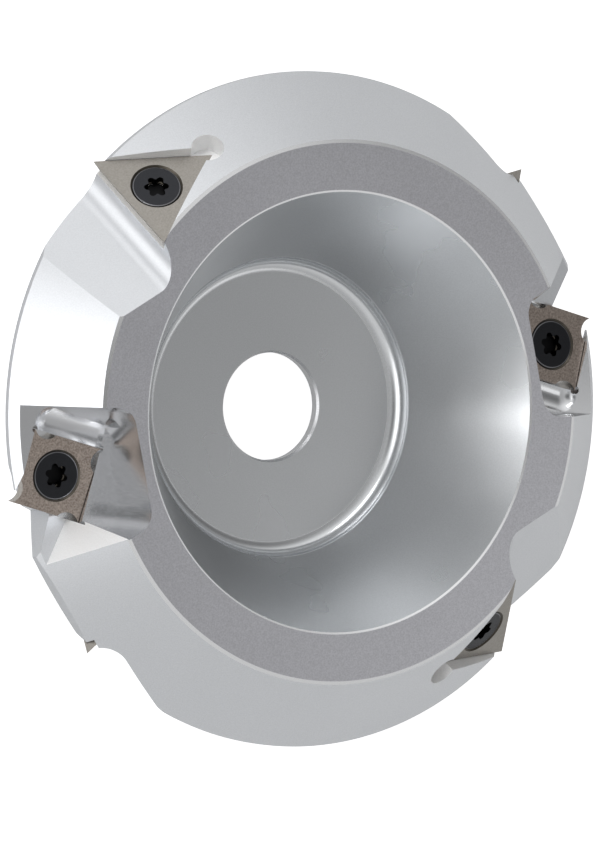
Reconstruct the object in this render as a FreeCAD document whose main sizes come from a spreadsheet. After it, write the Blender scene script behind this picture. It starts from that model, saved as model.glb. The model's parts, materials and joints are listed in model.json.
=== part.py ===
import FreeCAD, Part
import math
import os
import re
import Sketcher

# V-groove slotting cutter: a dished aluminium head with two square and four
# triangular carbide inserts. Millimetres and degrees. The origin is the centre
# of the bore on the back face, +Z points out of the dished front, and +X
# points at the tip of the first square insert.

SIZES = [
    # head
    ("rim_radius", 62.5),
    ("rim_land", 1.2),
    ("head_height", 28.4),
    ("ring_radius", 50.0),
    ("mouth_radius", 40.7),
    ("foot_radius", 27.8),
    ("foot_height", 5.4),
    ("web_thickness", 2.4),
    ("bore_radius", 10.0),
    ("floor_fillet", 2.2),
    ("foot_round", 1.0),
    ("edge_chamfer", 0.4),
    # square inserts
    ("square_side", 14.0),
    ("square_thickness", 2.0),
    ("square_centre_inset", 8.47),
    ("square_centre_rise", 1.5),
    ("square_lag", 2.57),
    ("square_yaw", 149.3),
    ("square_pitch", -1.8),
    ("square_roll", 5.9),
    ("scallop_radius", 2.6),
    ("scallop_depth", 1.2),
    ("scallop_offset", 4.7),
    # triangular inserts
    ("triangle_side", 22.0),
    ("triangle_thickness", 2.0),
    ("triangle_centre_inset", 7.9),
    ("triangle_centre_rise", 6.77),
    ("triangle_lag", 4.44),
    ("triangle_yaw", -86.25),
    ("triangle_pitch", 18.16),
    ("triangle_roll", -41.53),
    # screws, and the holes that take them
    ("screw_head_radius", 4.5),
    ("screw_head_height", 1.6),
    ("screw_sink", 0.15),
    ("screw_rim", 0.1),
    ("screw_radius", 1.9),
    ("screw_length", 6.5),
    ("socket_radius", 1.75),
    ("socket_lobe_radius", 0.6),
    ("socket_depth", 1.3),
    ("hole_clearance", 0.15),
    ("hole_spare_depth", 0.8),
    # pockets and gullets
    ("seat_clearance", 0.1),
    ("relief_radius", 3.0),
    ("relief_inset", 1.0),
    ("relief_depth", 0.4),
    ("corner_relief_radius", 0.7),
    ("gullet_depth", 3.4),
    ("gullet_fillet", 4.6),
    ("pocket_floor_rise", 2.2),
    ("pocket_corner_radius", 4.0),
    ("pocket_inner_reach", 42.2),
    ("pocket_upper_corner", -12.6),
    ("pocket_lower_corner", 9.2),
    ("pocket_lower_shift", 1.0),
    ("pocket_foot_reach", 48.9),
    ("pocket_foot_corner", 10.6),
    ("pocket_mouth_reach", 32.0),
    ("scoop_radius", 3.9),
    ("scoop_start", 4.4),
    ("scoop_offset", 2.0),
    ("scoop_rise", 4.4),
    ("ramp_radius", 54.84),
    ("ramp_angle", 8.1),
    ("ramp_rise", 0.23),
    ("gullet_floor_radius", 58.95),
    ("gullet_floor_angle", 4.65),
    ("gullet_floor_drop", 4.3),
    ("gullet_reach", 10.0),
    ("front_wall_angle", 12.0),
    ("tip_flat_distance", 58.0),
    ("rim_flat_distance", 61.6),
]

# Angles of the insert tips around the head, in degrees.
SQUARE_TIPS = [0, 180]
FRONT_TIPS = [120, 300]
BACK_TIPS = [30, 210]

# Reach of a cutting tool beyond what it cuts.
FAR = 60.0

# How fast the upper wall of a square's pocket leaves the radius of its tip, and
# the ways that the walls of its gullet face, as seen from the tip.
UPPER_SPREAD = 0.279
FRONT_WALL_FACING = (0.39, -0.85, 0.36)
RAMP_FACING = (0.450, -0.690, 0.566)
FLOOR_FACING = (0.0, -0.354, 0.901)

Vector = FreeCAD.Vector
Z_AXIS = Vector(0, 0, 1)
ROOT3 = math.sqrt(3)

doc = FreeCAD.newDocument("slotting_cutter")
sheet = doc.addObject("Spreadsheet::Sheet", "sizes")
for row, (alias, value) in enumerate(SIZES, start=1):
    sheet.set("A%d" % row, alias)
    sheet.set("B%d" % row, str(value))
    sheet.setAlias("B%d" % row, alias)
doc.recompute()

ALIAS = re.compile(r"\b(%s)\b" % "|".join(alias for alias, value in SIZES))


def size(formula):
    """The number that a formula of sheet names gives."""
    return float(sheet.evalExpression(str(formula)))


def bind(thing, prop, formula):
    """Ties a property to a formula of sheet names."""
    thing.setExpression(prop, ALIAS.sub(r"sizes.\1", str(formula)))


def place(x=0, y=0, z=0, turn=None):
    return FreeCAD.Placement(Vector(x, y, z), turn or FreeCAD.Rotation())


def about_z(angle):
    return place(turn=FreeCAD.Rotation(Z_AXIS, angle))


# Sketches

def outline(sketch, corners):
    """Closes straight lines through corners that are formulas of sheet names."""
    points = [Vector(size(x), size(y), 0) for x, y in corners]
    for first, second in zip(points, points[1:] + points[:1]):
        sketch.addGeometry(Part.LineSegment(first, second), False)
    count = len(points)
    for line in range(count):
        sketch.addConstraint(Sketcher.Constraint("Coincident", line, 2, (line + 1) % count, 1))
    for line, point in enumerate(points):
        for axis, value, formula in zip("XY", point, corners[line]):
            number = sketch.addConstraint(Sketcher.Constraint("Distance" + axis, line, 1, value))
            bind(sketch, "Constraints[%d]" % number, formula)


def circle(sketch, x, y, radius):
    """Adds a circle whose centre and radius are formulas of sheet names."""
    centre = Vector(size(x), size(y), 0)
    item = sketch.addGeometry(Part.Circle(centre, Z_AXIS, size(radius)), False)
    for kind, formula in (("DistanceX", x), ("DistanceY", y)):
        number = sketch.addConstraint(Sketcher.Constraint(kind, item, 3, size(formula)))
        bind(sketch, "Constraints[%d]" % number, formula)
    number = sketch.addConstraint(Sketcher.Constraint("Radius", item, size(radius)))
    bind(sketch, "Constraints[%d]" % number, radius)


def body_sketch(body, name, role):
    """A sketch on one of the body's own origin planes."""
    sketch = body.newObject("Sketcher::SketchObject", name)
    plane = [item for item in body.Origin.OriginFeatures if item.Role == role][0]
    sketch.AttachmentSupport = [(plane, "")]
    sketch.MapMode = "FlatFace"
    return sketch


def new_body(name):
    body = doc.addObject("PartDesign::Body", name)
    body.Label = name
    return body


def turned(body, kind, name, corners):
    """A revolution or groove about the body's Z axis of an outline of radius and height."""
    sketch = body_sketch(body, name + "_section", "XZ_Plane")
    outline(sketch, corners)
    feature = body.newObject("PartDesign::" + kind, name)
    feature.Profile = sketch
    feature.ReferenceAxis = (sketch, ["V_Axis"])
    feature.Angle = 360
    doc.recompute()
    return feature


def circle_edges(shape, spots):
    """Names of the circular edges that have one of these radii and heights."""
    names = []
    for number, edge in enumerate(shape.Edges, start=1):
        if not isinstance(edge.Curve, Part.Circle):
            continue
        for radius, height in spots:
            same_radius = abs(edge.Curve.Radius - size(radius)) < 0.01
            if same_radius and abs(edge.Curve.Center.z - size(height)) < 0.01:
                names.append("Edge%d" % number)
    return names


def dress(body, kind, name, base, spots, prop, formula):
    """A fillet or chamfer on circular edges of the body."""
    feature = body.newObject("PartDesign::" + kind, name)
    feature.Base = (base, circle_edges(base.Shape, spots))
    bind(feature, prop, formula)
    doc.recompute()
    return feature


# The head before its pockets are cut

def head_blank():
    body = new_body("head_blank")
    lower = "(head_height - rim_land) / 2"
    upper = "(head_height + rim_land) / 2"
    section = [
        ("bore_radius", "0"),
        ("ring_radius", "0"),
        ("rim_radius", lower),
        ("rim_radius", upper),
        ("ring_radius", "head_height"),
        ("mouth_radius", "head_height"),
        ("foot_radius", "foot_height"),
        ("foot_radius", "web_thickness"),
        ("bore_radius", "web_thickness"),
    ]
    last = turned(body, "Revolution", "turned_head", section)
    foot = [("foot_radius", "web_thickness")]
    last = dress(body, "Fillet", "floor_corner", last, foot, "Radius", "floor_fillet")
    step = [("foot_radius", "foot_height")]
    last = dress(body, "Fillet", "bowl_foot", last, step, "Radius", "foot_round")
    sharp = [("bore_radius", "0"), ("bore_radius", "web_thickness"), ("ring_radius", "0"),
             ("ring_radius", "head_height"), ("mouth_radius", "head_height")]
    dress(body, "Chamfer", "broken_edges", last, sharp, "Size", "edge_chamfer")
    return body


# Cutting tools, placed in the frame of an insert's seat

def prism(name, frame, corners, low, high):
    """An outline in the frame's XY plane, extruded between two heights."""
    sketch = doc.addObject("Sketcher::SketchObject", name + "_outline")
    sketch.Placement = frame * place(z=size(low))
    outline(sketch, corners)
    solid = doc.addObject("Part::Extrusion", name)
    solid.Base = sketch
    solid.DirMode = "Normal"
    solid.Solid = True
    bind(solid, "LengthFwd", "%s - (%s)" % (high, low))
    doc.recompute()
    return solid


def rod(name, frame, radius, length):
    """A cylinder that stands on the frame."""
    solid = doc.addObject("Part::Cylinder", name)
    bind(solid, "Radius", radius)
    bind(solid, "Height", length)
    solid.Placement = frame
    return solid


def block(name, frame, width, depth, height):
    """A box with its corner at the frame's origin."""
    solid = doc.addObject("Part::Box", name)
    bind(solid, "Length", width)
    bind(solid, "Width", depth)
    bind(solid, "Height", height)
    solid.Placement = frame
    return solid


def rounded(name, solid, radius, wanted):
    """Rounds the straight edges whose middle and direction the test accepts."""
    doc.recompute()
    edges = []
    for number, edge in enumerate(solid.Shape.Edges, start=1):
        middle = solid.Placement.inverse().multVec(edge.CenterOfMass)
        if wanted(middle):
            edges.append((number, size(radius), size(radius)))
    result = doc.addObject("Part::Fillet", name)
    result.Base = solid
    result.Edges = edges
    doc.recompute()
    return result


# Where the inserts sit: origin under the screw, Z out of the seat

def square_seat(tip):
    """X runs along the cutting edge from the tip, Y along the edge behind the tip."""
    turn = FreeCAD.Rotation(size("square_yaw"), size("square_pitch"), size("square_roll"))
    face = about_z(-size("square_lag")) * place(
        size("rim_radius - square_centre_inset"), 0, size("head_height / 2 + square_centre_rise"))
    frame = about_z(tip) * place(*face.Base) * place(turn=turn)
    return frame * place(z=-size("square_thickness"))


def triangle_seat(tip, side):
    """Y points at the tip; side is 1 for the front cone and -1 for the back cone."""
    turn = FreeCAD.Rotation(size("triangle_yaw"), side * size("triangle_pitch"),
                            side * size("triangle_roll"))
    if side < 0:
        turn = turn * FreeCAD.Rotation(Vector(0, 1, 0), 180)
    height = size("head_height / 2") + side * size("triangle_centre_rise")
    face = about_z(-size("triangle_lag")) * place(
        size("rim_radius - triangle_centre_inset"), 0, height)
    frame = about_z(tip) * place(*face.Base) * place(turn=turn)
    return frame * place(z=-size("triangle_thickness"))


# Inserts and screws

def countersink(body):
    """The hole that the screw head sits in, cut from the face of an insert."""
    shank = "screw_radius + hole_clearance"
    thickness = "square_thickness" if "square" in body.Name else "triangle_thickness"
    rise = "%s - screw_sink - screw_head_height" % thickness
    corners = [
        ("0", "-1"),
        (shank, "-1"),
        (shank, rise),
        ("screw_head_radius + hole_clearance", thickness + " - screw_sink"),
        ("screw_head_radius + hole_clearance", thickness + " + 1"),
        ("0", thickness + " + 1"),
    ]
    return turned(body, "Groove", body.Name + "_countersink", corners)


def pad(body, name, sketch, length):
    feature = body.newObject("PartDesign::Pad", name)
    feature.Profile = sketch
    bind(feature, "Length", length)
    doc.recompute()
    return feature


def square_insert(name, frame):
    body = new_body(name)
    half = "square_side / 2"
    plan = body_sketch(body, name + "_plan", "XY_Plane")
    outline(plan, [("-" + half, "-" + half), (half, "-" + half), (half, half), ("-" + half, half)])
    pad(body, name + "_plate", plan, "square_thickness")
    scallops = body_sketch(body, name + "_scallop_plan", "XY_Plane")
    out = "(square_side / 2 - scallop_depth + scallop_radius)"
    for x, y in (("scallop_offset", "-" + out), (out, "scallop_offset"),
                 ("-scallop_offset", out), ("-" + out, "-scallop_offset")):
        circle(scallops, x, y, "scallop_radius")
    cut = body.newObject("PartDesign::Pocket", name + "_scallops")
    cut.Profile = scallops
    cut.Type = 1
    cut.Reversed = True
    doc.recompute()
    countersink(body)
    body.Placement = frame
    return body


def triangle_insert(name, frame):
    body = new_body(name)
    reach = "triangle_side / %.12f" % ROOT3
    half = "triangle_side / 2"
    plan = body_sketch(body, name + "_plan", "XY_Plane")
    foot = "-" + reach + " / 2"
    outline(plan, [("0", reach), ("-" + half, foot), (half, foot)])
    pad(body, name + "_plate", plan, "triangle_thickness")
    countersink(body)
    body.Placement = frame
    return body


def screw(name, frame, thickness):
    """A countersunk screw with a six-lobe socket, seated in its insert."""
    body = new_body(name)
    top = thickness + " - screw_sink"
    under = top + " - screw_head_height"
    cone = "screw_head_height / (screw_head_radius - screw_radius)"
    corners = [
        ("0", top + " - screw_length"),
        ("screw_radius - 0.4", top + " - screw_length"),
        ("screw_radius", top + " - screw_length + 0.4"),
        ("screw_radius", under),
        ("screw_head_radius - screw_rim", top + " - screw_rim * " + cone),
        ("screw_head_radius - 2 * screw_rim", top),
        ("0", top),
    ]
    turned(body, "Revolution", name + "_turning", corners)
    core = body_sketch(body, name + "_socket_plan", "XY_Plane")
    core.AttachmentOffset = place(z=size(top))
    circle(core, "0", "0", "socket_radius")
    lobe = body_sketch(body, name + "_lobe_plan", "XY_Plane")
    lobe.AttachmentOffset = place(z=size(top))
    circle(lobe, "socket_radius", "0", "socket_lobe_radius")
    cuts = []
    for sketch in (core, lobe):
        bind(sketch, "AttachmentOffset.Base.z", top)
        cut = body.newObject("PartDesign::Pocket", sketch.Name + "_cut")
        cut.Profile = sketch
        bind(cut, "Length", "socket_depth")
        doc.recompute()
        cuts.append(cut)
    lobes = body.newObject("PartDesign::PolarPattern", name + "_lobes")
    lobes.Originals = [cuts[1]]
    lobes.Axis = (lobe, ["N_Axis"])
    lobes.Angle = 360
    lobes.Occurrences = 6
    body.Tip = lobes
    doc.recompute()
    body.Placement = frame
    return body


# Pockets and gullets

def screw_hole(name, frame, thickness):
    depth = "screw_length - %s + screw_sink + hole_spare_depth" % thickness
    return rod(name, frame * place(z=-size(depth)), "screw_radius + hole_clearance",
               "%s + %s" % (depth, thickness))


def triangle_tools(name, tip, side):
    """Seat, relief hole, screw hole and gullet of one triangular insert."""
    seat = triangle_seat(tip, side)
    reach = "(triangle_side / %.12f + 2 * seat_clearance)" % ROOT3
    half = "(triangle_side / 2 + %.12f * seat_clearance)" % ROOT3
    spill = 3
    sign = "" if side > 0 else "-"
    back = ("%s%s" % (sign, half), "-%s / 2" % reach)
    past_tip = ("%s(-%d * 0.5)" % (sign, spill), "%s + %d * 0.866" % (reach, spill))
    past_foot = ("%s(-%s - %d)" % (sign, half, spill), "-%s / 2" % reach)
    pocket = prism(name + "_pocket", seat, [past_tip, back, past_foot], "0", "14")
    corner_x = side * size("triangle_side / 2") - side * size("relief_inset") / 2
    corner_y = -size("triangle_side") / ROOT3 / 2 + size("relief_inset") * ROOT3 / 2
    relief = rod(name + "_relief", seat * place(corner_x, corner_y, -size("relief_depth")),
                 "relief_radius", "14")
    edge = seat * about_z(90 + side * 60)
    wall = size("triangle_side") / ROOT3 / 2 - 0.05
    corner = edge * place(wall, -FAR, -size("gullet_depth"))
    cutter = block(name + "_gullet_block", corner, FAR, 2 * FAR, FAR / 2)
    gullet = rounded(name + "_gullet", cutter, "gullet_fillet",
                     lambda middle: abs(middle.x) < 0.01 and abs(middle.z) < 0.01)
    hole = screw_hole(name + "_screw_hole", seat, "triangle_thickness")
    return [pocket, relief, gullet, hole]


def square_tools(name, tip):
    """Seat, open pocket, chip scoop, gullet and rim flats of one square insert."""
    seat = square_seat(tip)
    near = "square_side / 2 + seat_clearance"
    open_side = "-square_side / 2 - 12"
    tools = [prism(name + "_seat", seat,
                   [("-(%s)" % near, open_side), (near, open_side), (near, near),
                    ("-(%s)" % near, near)],
                   "0", "5")]
    half = size("square_side / 2")
    for number, (x, y) in enumerate(((half, half), (-half, half)), start=1):
        nib = seat * place(x, y, 0)
        tools.append(rod("%s_nib_%d" % (name, number), nib, "corner_relief_radius", "5"))

    # The open pocket: two round inner corners, then along the cutting edge and out.
    upper = ("pocket_inner_reach", "pocket_upper_corner")
    lower = ("pocket_inner_reach + pocket_lower_shift", "pocket_lower_corner")
    inner_tip = about_z(-tip).multVec(seat.multVec(Vector(half, -half, 0)))
    outer_tip = about_z(-tip).multVec(seat.multVec(Vector(-half - 14, -half, 0)))
    mouth = "pocket_mouth_reach"
    outline_points = [
        upper,
        lower,
        ("pocket_foot_reach", "pocket_foot_corner"),
        (inner_tip.x, inner_tip.y),
        (outer_tip.x, outer_tip.y),
        (upper[0] + " + " + mouth, "%s - %s * %.3f" % (upper[1], mouth, UPPER_SPREAD)),
    ]
    floor = place(z=size("head_height / 2 + pocket_floor_rise"))
    cutter = prism(name + "_pocket_prism", about_z(tip) * floor, outline_points, "0", "20")
    inner_limit = size("pocket_inner_reach + pocket_lower_shift") + 1
    tools.append(rounded(name + "_pocket", cutter, "pocket_corner_radius",
                         lambda middle: is_inner_corner(tip, middle, inner_limit)))
    scoop = seat * place(-size("scoop_start"), half + size("scoop_offset"), size("scoop_rise"),
                         FreeCAD.Rotation(Vector(0, 1, 0), 90))
    tools.append(rod(name + "_scoop", scoop, "scoop_radius", "square_side / 2 + scoop_start"))
    ball = doc.addObject("Part::Sphere", name + "_scoop_end")
    bind(ball, "Radius", "scoop_radius")
    ball.Placement = scoop
    tools.append(ball)
    tools.append(square_gullet(name, tip, seat))
    tools.append(screw_hole(name + "_screw_hole", seat, "square_thickness"))

    # Flats on the rim: clearance under the tip, and a shallow one ahead of the gullet.
    low = -1
    under = about_z(tip + 15.9) * place(size("tip_flat_distance"), -26, low)
    tools.append(block(name + "_tip_flat", under, "12", "16", "head_height / 2 + 1"))
    ahead = about_z(tip + 19.3) * place(size("rim_flat_distance"), -10.4, low)
    tools.append(block(name + "_rim_flat", ahead, "12", "20.9", "head_height + 2"))
    return tools


def is_inner_corner(tip, middle, limit):
    """True for an upright edge at one of the pocket's two inner corners."""
    spot = about_z(-tip).multVec(middle)
    low = size("head_height / 2 + pocket_floor_rise")
    return spot.x < limit and low + 5 < spot.z < low + 15


def beyond(name, point, facing):
    """Everything in front of a plane through a point."""
    turn = FreeCAD.Rotation(Z_AXIS, facing)
    frame = place(*point) * place(turn=turn) * place(-FAR, -FAR, 0)
    return block(name, frame, 2 * FAR, 2 * FAR, FAR)


def square_gullet(name, tip, seat):
    """What is cut in front of the square's edge: an upright wall behind, then a
    sloping floor, a steep ramp and a slanted front wall."""
    half = size("square_side / 2")
    heading = about_z(tip + size("square_yaw"))
    edge_middle = seat.multVec(Vector(0, -half + 0.05, 0))
    upright = place(*edge_middle) * place(turn=heading.Rotation)
    wall = block(name + "_upright", upright * place(-FAR, -FAR, -FAR),
                 FAR + half + size("gullet_reach"), FAR, 2 * FAR)
    out = about_z(tip + size("front_wall_angle"))
    rim = out.multVec(Vector(size("ring_radius"), 0, size("head_height")))
    front = beyond(name + "_front", rim, out.multVec(Vector(*FRONT_WALL_FACING)))
    foot = about_z(tip + size("ramp_angle")).multVec(
        Vector(size("ramp_radius"), 0, size("head_height / 2 + ramp_rise")))
    ramp = beyond(name + "_ramp", foot, about_z(tip).multVec(Vector(*RAMP_FACING)))
    low = about_z(tip + size("gullet_floor_angle")).multVec(
        Vector(size("gullet_floor_radius"), 0, size("head_height / 2 - gullet_floor_drop")))
    floor = beyond(name + "_floor", low, about_z(tip).multVec(Vector(*FLOOR_FACING)))
    shared = doc.addObject("Part::MultiCommon", name + "_gullet")
    shared.Shapes = [wall, front, ramp, floor]
    doc.recompute()
    return shared


def cutter_body():
    """The head with every pocket cut in one boolean."""
    tools = []
    for number, tip in enumerate(SQUARE_TIPS, start=1):
        tools += square_tools("square_%d" % number, tip)
    for number, tip in enumerate(FRONT_TIPS, start=1):
        tools += triangle_tools("front_triangle_%d" % number, tip, 1)
    for number, tip in enumerate(BACK_TIPS, start=1):
        tools += triangle_tools("back_triangle_%d" % number, tip, -1)
    joined = doc.addObject("Part::MultiFuse", "pocket_tools")
    joined.Shapes = tools
    doc.recompute()
    result = doc.addObject("Part::Cut", "cutter_body")
    result.Base = head_blank()
    result.Tool = joined
    result.Label = "cutter_body"
    doc.recompute()
    return result


def build_parts():
    parts = [cutter_body()]
    for number, tip in enumerate(SQUARE_TIPS, start=1):
        seat = square_seat(tip)
        parts.append(square_insert("square_insert_%d" % number, seat))
        parts.append(screw("square_insert_screw_%d" % number, seat, "square_thickness"))
    for kind, side, tips in (("front", 1, FRONT_TIPS), ("back", -1, BACK_TIPS)):
        for number, tip in enumerate(tips, start=1):
            seat = triangle_seat(tip, side)
            parts.append(triangle_insert("%s_triangle_insert_%d" % (kind, number), seat))
            parts.append(screw("%s_triangle_screw_%d" % (kind, number), seat, "triangle_thickness"))
    doc.recompute()
    return parts


def check(parts):
    """Stops with a message if an object failed or a solid is not sound."""
    for item in doc.Objects:
        for state in ("Invalid", "Error"):
            if state in item.State:
                raise RuntimeError("%s is %s" % (item.Name, item.State))
    for part in parts:
        if part.Shape.isNull() or not part.Shape.isValid():
            raise RuntimeError("%s has no sound shape" % part.Label)
        print(part.Label, len(part.Shape.Solids), round(part.Shape.Volume, 1))


parts = build_parts()
check(parts)
os.makedirs("parts", exist_ok=True)
for part in parts:
    part.Shape.exportStep("parts/%s.step" % part.Label)
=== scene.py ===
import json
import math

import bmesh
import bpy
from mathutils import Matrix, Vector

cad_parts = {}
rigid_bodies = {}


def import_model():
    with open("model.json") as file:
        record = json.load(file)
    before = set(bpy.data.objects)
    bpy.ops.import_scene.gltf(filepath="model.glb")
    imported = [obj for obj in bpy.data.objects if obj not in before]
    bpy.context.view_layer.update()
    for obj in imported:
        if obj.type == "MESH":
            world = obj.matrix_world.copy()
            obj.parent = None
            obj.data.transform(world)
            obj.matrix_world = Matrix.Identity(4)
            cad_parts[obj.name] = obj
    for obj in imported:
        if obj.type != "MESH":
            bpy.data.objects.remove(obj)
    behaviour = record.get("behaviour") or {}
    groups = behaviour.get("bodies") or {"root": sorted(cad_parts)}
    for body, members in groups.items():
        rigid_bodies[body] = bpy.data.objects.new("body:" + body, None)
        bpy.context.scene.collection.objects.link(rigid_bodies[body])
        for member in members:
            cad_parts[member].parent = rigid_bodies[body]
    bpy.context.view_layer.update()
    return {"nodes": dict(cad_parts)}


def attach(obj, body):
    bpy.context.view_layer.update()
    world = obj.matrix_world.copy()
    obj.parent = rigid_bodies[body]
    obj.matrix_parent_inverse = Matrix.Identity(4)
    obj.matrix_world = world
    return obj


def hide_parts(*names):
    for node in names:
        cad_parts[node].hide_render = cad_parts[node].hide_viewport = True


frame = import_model()

# %% [markdown]
# # Slotting cutter
# A V-groove slotting cutter: a dished aluminium disc whose rim comes to a blunt
# point, with two square and four triangular carbide inserts. The solids give
# every shape and place. Their meshes are coarse, so this script turns the head
# again at a finer step, cuts the same pockets into it, rounds its edges a
# little and gives every piece its finish.
#
# Lengths are millimetres, in the frame of the solids: origin at the centre of
# the bore on the back face, +Z out of the dish. Angles are degrees. Meshes are
# scaled to metres at the end, when they become objects.

MM = 0.001

print("solids:", len(frame["nodes"]), "nodes")

# %% [markdown]
# ## Seats
# On the real cutter each insert lies in a seat at a compound angle, so that its
# edge meets the wood at the right slope. Every pocket, plate and screw could be
# worked out in the frame of the head, with a new sum for each corner. It is
# simpler to give each insert a frame of its own, a 4 by 4 matrix with its
# origin under the screw on the seat and Z out of the seat, to draw everything
# flat, and to carry it there.
#
# A square's X axis runs along its cutting edge, and a triangle's Y axis points
# at its tip. The back triangles are the front ones mirrored about the
# mid-plane, turned over so that their screws still face out.

# %% Sizes of the inserts and where their tips stand
RIM_RADIUS, HEIGHT = 62.5, 28.4
MID = HEIGHT / 2

SQUARE_SIDE, SQUARE_THICKNESS = 14.0, 2.0
TRIANGLE_SIDE, TRIANGLE_THICKNESS = 22.0, 2.0

SQUARE_TIPS = (0, 180)
FRONT_TIPS = (120, 300)
BACK_TIPS = (30, 210)

print("squares at", SQUARE_TIPS, "front triangles at", FRONT_TIPS, "back triangles at", BACK_TIPS)


# %% Turning and shifting
def turn_z(angle):
    return Matrix.Rotation(math.radians(angle), 4, "Z")


def shift(x=0.0, y=0.0, z=0.0):
    return Matrix.Translation((x, y, z))


def attitude(yaw, pitch, roll):
    """Roll about X, then pitch about Y, then yaw about Z."""
    return (turn_z(yaw) @ Matrix.Rotation(math.radians(pitch), 4, "Y")
            @ Matrix.Rotation(math.radians(roll), 4, "X"))


print("a quarter turn takes X to", [round(v, 3) for v in turn_z(90) @ Vector((1, 0, 0))])

# %% Seat frames
# Lag: how far the centre trails its tip. Inset: how far inside the rim it lies.
# Rise: its height over the mid-plane.
SQUARE_LAG, SQUARE_INSET, SQUARE_RISE = 2.57, 8.47, 1.5
SQUARE_YAW, SQUARE_PITCH, SQUARE_ROLL = 149.3, -1.8, 5.9
TRIANGLE_LAG, TRIANGLE_INSET, TRIANGLE_RISE = 4.44, 7.9, 6.77
TRIANGLE_YAW, TRIANGLE_PITCH, TRIANGLE_ROLL = -86.25, 18.16, -41.53


def square_seat(tip):
    centre = turn_z(tip - SQUARE_LAG) @ Vector((RIM_RADIUS - SQUARE_INSET, 0, MID + SQUARE_RISE))
    turn = attitude(SQUARE_YAW + tip, SQUARE_PITCH, SQUARE_ROLL)
    return shift(*centre) @ turn @ shift(z=-SQUARE_THICKNESS)


def triangle_seat(tip, side):
    """Side is 1 for a front triangle and -1 for its mirror image at the back."""
    rise = side * TRIANGLE_RISE
    centre = turn_z(tip - TRIANGLE_LAG) @ Vector((RIM_RADIUS - TRIANGLE_INSET, 0, MID + rise))
    turn = attitude(TRIANGLE_YAW + tip, side * TRIANGLE_PITCH, side * TRIANGLE_ROLL)
    if side < 0:
        turn = turn @ Matrix.Rotation(math.pi, 4, "Y")
    return shift(*centre) @ turn @ shift(z=-TRIANGLE_THICKNESS)


print("first square seat at", [round(v, 1) for v in square_seat(0).translation])
print("first triangle seat at", [round(v, 1) for v in triangle_seat(FRONT_TIPS[0], 1).translation])

# %% [markdown]
# ## The turned head
# The real head is turned from a round bar of aluminium. A cylinder could be
# pushed and scaled into this shape ring by ring, but a lathe follows one
# outline, so the mesh does too: a closed outline of radius and height is spun
# once round the axis. Round stretches of the outline are arcs. The spin has
# fine steps, so that the long soft highlights in the bowl stay smooth.

# %% Sizes of the head
RIM_LAND = 1.2
RING_RADIUS, MOUTH_RADIUS = 50.0, 40.7
FOOT_RADIUS, FOOT_HEIGHT = 27.8, 5.4
WEB, BORE_RADIUS = 2.4, 10.0
FLOOR_FILLET, FOOT_ROUND = 2.7, 1.0
EDGE_CHAMFER, MOUTH_CHAMFER = 0.4, 0.25

bowl_slope = math.atan2(HEIGHT - FOOT_HEIGHT, MOUTH_RADIUS - FOOT_RADIUS)
print("the bowl's wall rises at", round(math.degrees(bowl_slope), 1), "degrees")

# %% Outline of the section
ROUND_STEPS, FILLET_STEPS = 16, 24


def arc(centre, radius, start, end, steps):
    """Points of an arc, its angles measured from the outward radius."""
    for step in range(steps + 1):
        angle = math.radians(start + (end - start) * step / steps)
        yield (centre[0] + radius * math.cos(angle), centre[1] + radius * math.sin(angle))


def back_and_rim():
    """From the bore along the back face, up both cones and onto the ring."""
    c = EDGE_CHAMFER
    cone = Vector((RIM_RADIUS - RING_RADIUS, (HEIGHT - RIM_LAND) / 2)).normalized()
    return [
        (BORE_RADIUS, c),
        (BORE_RADIUS + c, 0),
        (RING_RADIUS - c, 0),
        (RING_RADIUS + c * cone.x, c * cone.y),
        (RIM_RADIUS, MID - RIM_LAND / 2),
        (RIM_RADIUS, MID + RIM_LAND / 2),
        (RING_RADIUS + c * cone.x, HEIGHT - c * cone.y),
        (RING_RADIUS - c, HEIGHT),
    ]


def dish():
    """From the ring down the bowl, round the foot, over the floor to the bore."""
    along = Vector((math.cos(bowl_slope), math.sin(bowl_slope)))
    mouth = Vector((MOUTH_RADIUS, HEIGHT)) - along * MOUTH_CHAMFER
    tangent = FOOT_ROUND * math.tan((math.pi / 2 - bowl_slope) / 2)
    round_centre = (FOOT_RADIUS + FOOT_ROUND, FOOT_HEIGHT - tangent)
    fillet_centre = (FOOT_RADIUS - FLOOR_FILLET, WEB + FLOOR_FILLET)
    points = [(MOUTH_RADIUS + MOUTH_CHAMFER, HEIGHT), tuple(mouth)]
    points += arc(round_centre, FOOT_ROUND, 90 + math.degrees(bowl_slope), 180, ROUND_STEPS)
    points += arc(fillet_centre, FLOOR_FILLET, 0, -90, FILLET_STEPS)
    return points + [(BORE_RADIUS + EDGE_CHAMFER, WEB), (BORE_RADIUS, WEB - EDGE_CHAMFER)]


print("the section has", len(back_and_rim() + dish()), "points")

# %% Spinning it
SPIN_STEPS = 360


def turned_blank():
    bm = bmesh.new()
    ring = [bm.verts.new((x, 0, z)) for x, z in back_and_rim() + dish()]
    edges = [bm.edges.new((a, b)) for a, b in zip(ring, ring[1:] + ring[:1])]
    bmesh.ops.spin(bm, geom=ring + edges, axis=(0, 0, 1), cent=(0, 0, 0),
                   angle=2 * math.pi, steps=SPIN_STEPS, use_merge=True)
    bmesh.ops.recalc_face_normals(bm, faces=bm.faces)
    return bm


def mesh_object(name, bm, material=None, scale=MM):
    """Links a bmesh as an object at the origin, its place in its vertices."""
    bmesh.ops.scale(bm, vec=(scale, scale, scale), verts=bm.verts)
    mesh = bpy.data.meshes.new(name)
    bm.to_mesh(mesh)
    bm.free()
    thing = bpy.data.objects.new(name, mesh)
    bpy.context.scene.collection.objects.link(thing)
    if material:
        mesh.materials.append(material)
    return thing


head = mesh_object("head_visual", turned_blank())
print("turned blank:", len(head.data.polygons), "faces")

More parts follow.
